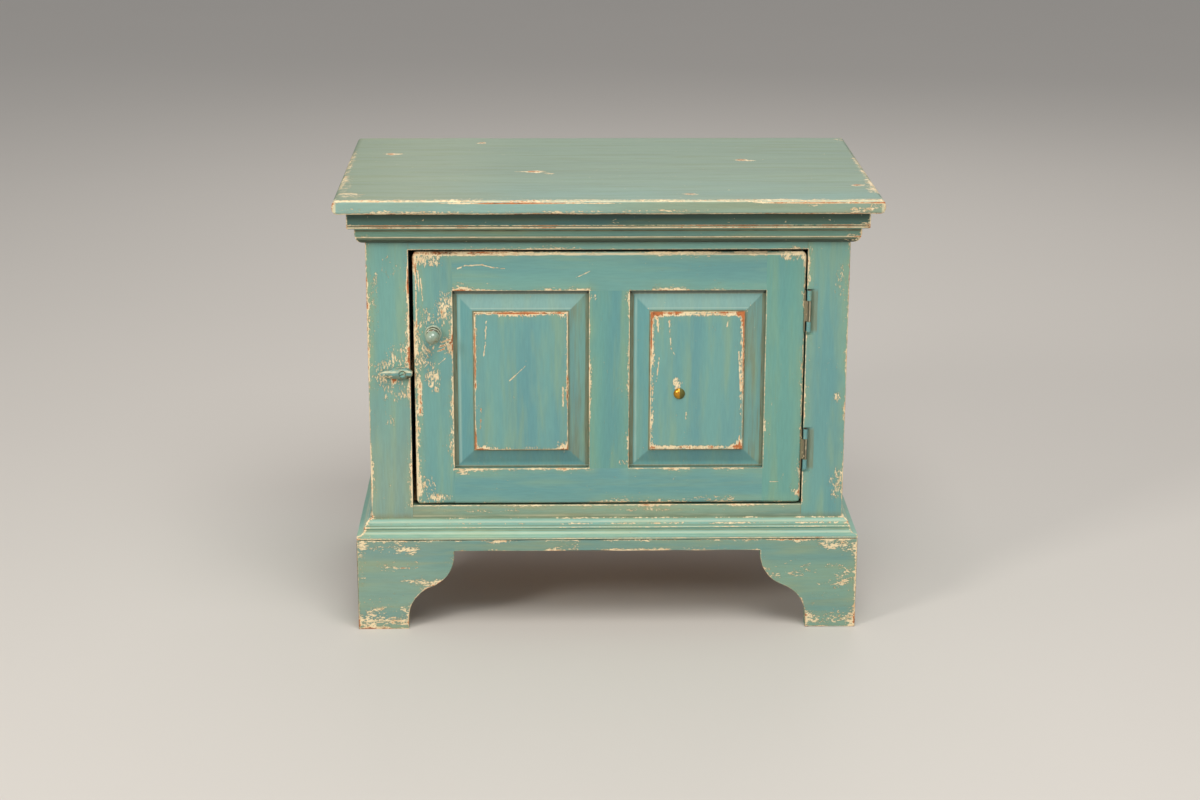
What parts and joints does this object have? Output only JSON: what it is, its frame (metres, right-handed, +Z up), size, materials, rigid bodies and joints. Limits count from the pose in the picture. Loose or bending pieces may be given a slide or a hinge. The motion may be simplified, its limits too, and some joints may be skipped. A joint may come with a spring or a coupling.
{
  "type": "side cabinet",
  "caption": "Low side cabinet with a framed two-panel door on butt hinges, a turn button, a mitred crown and base moulding, and ogee bracket feet.",
  "frame": {"origin": "centre of the top board's rectangle, on the floor", "axes": "+X to the right of someone who faces the door, -Y towards that person, +Z up"},
  "size_m": [0.65, 0.411, 0.543],
  "materials": {
    "top_paint": "brushed grey-green paint, rubbed through to cream and bare wood at the edges",
    "case_paint": "brushed blue-green paint with an olive glaze, chipped to cream at the edges",
    "door_paint": "brushed blue-green paint with an olive glaze, chipped to cream and bare wood",
    "panel_paint": "brushed blue-green paint, worn along the raised field's edge",
    "crown_paint": "blue-green paint darkened by glaze in the hollows",
    "base_paint": "pale blue-green paint rubbed to cream on the ridges",
    "plinth_paint": "brushed blue-green paint, chipped to cream along the edges and the feet",
    "knob_paint": "worn grey-green paint",
    "button_paint": "worn grey-green paint over rough carved wood",
    "bare_wood": "bare pine, aged",
    "hinge_metal": "steel painted over and worn brown",
    "screw_steel": "dull steel",
    "brass": "half bright, half tarnished green"
  },
  "bodies": {
    "cabinet": {"top_board": "top_paint", "top_cleat_left": "bare_wood", "top_cleat_right": "bare_wood", "top_screws": "screw_steel", "crown_moulding_front": "crown_paint", "crown_moulding_left": "crown_paint", "crown_moulding_right": "crown_paint", "side_board_left": "case_paint", "side_board_right": "case_paint", "frame_stile_left": "case_paint", "frame_stile_right": "case_paint", "frame_rail_top": "case_paint", "frame_rail_bottom": "case_paint", "back_board_1": "bare_wood", "back_board_2": "bare_wood", "back_board_3": "bare_wood", "back_board_4": "bare_wood", "back_rail": "bare_wood", "cabinet_floor": "bare_wood", "floor_cleat_left": "bare_wood", "floor_cleat_right": "bare_wood", "shelf": "bare_wood", "shelf_cleat_left": "bare_wood", "shelf_cleat_right": "bare_wood", "door_stop": "bare_wood", "base_moulding_front": "base_paint", "base_moulding_left": "base_paint", "base_moulding_right": "base_paint", "plinth_front": "plinth_paint", "plinth_left": "plinth_paint", "plinth_right": "plinth_paint", "corner_block_front_left": "bare_wood", "corner_block_front_right": "bare_wood", "corner_block_rear_left": "bare_wood", "corner_block_rear_right": "bare_wood", "rear_foot_left": "bare_wood", "rear_foot_right": "bare_wood", "hinge_frame_leaf_upper": "hinge_metal", "hinge_frame_leaf_lower": "hinge_metal", "hinge_pin_upper": "hinge_metal", "hinge_pin_lower": "hinge_metal", "hinge_frame_screws": "screw_steel", "turn_button_screw": "screw_steel"},
    "door": {"door_stile_left": "door_paint", "door_stile_right": "door_paint", "door_rail_top": "door_paint", "door_rail_bottom": "door_paint", "door_muntin": "door_paint", "door_panel_left": "panel_paint", "door_panel_right": "panel_paint", "hinge_door_leaf_upper": "hinge_metal", "hinge_door_leaf_lower": "hinge_metal", "hinge_door_screws": "screw_steel", "door_knob": "knob_paint", "knob_bolt": "screw_steel", "brass_stud": "brass"},
    "button": {"turn_button": "button_paint"}
  },
  "joints": [
    {"name": "door_swing", "type": "hinge", "parent": "cabinet", "child": "door", "pos_m": [0.2411, -0.1701, 0.31], "axis": [0, 0, 1], "range_deg": [0, 175]},
    {"name": "button_turn", "type": "hinge", "parent": "cabinet", "child": "button", "pos_m": [-0.2475, -0.1695, 0.3242], "axis": [0, -1, 0], "continuous": true}
  ]
}
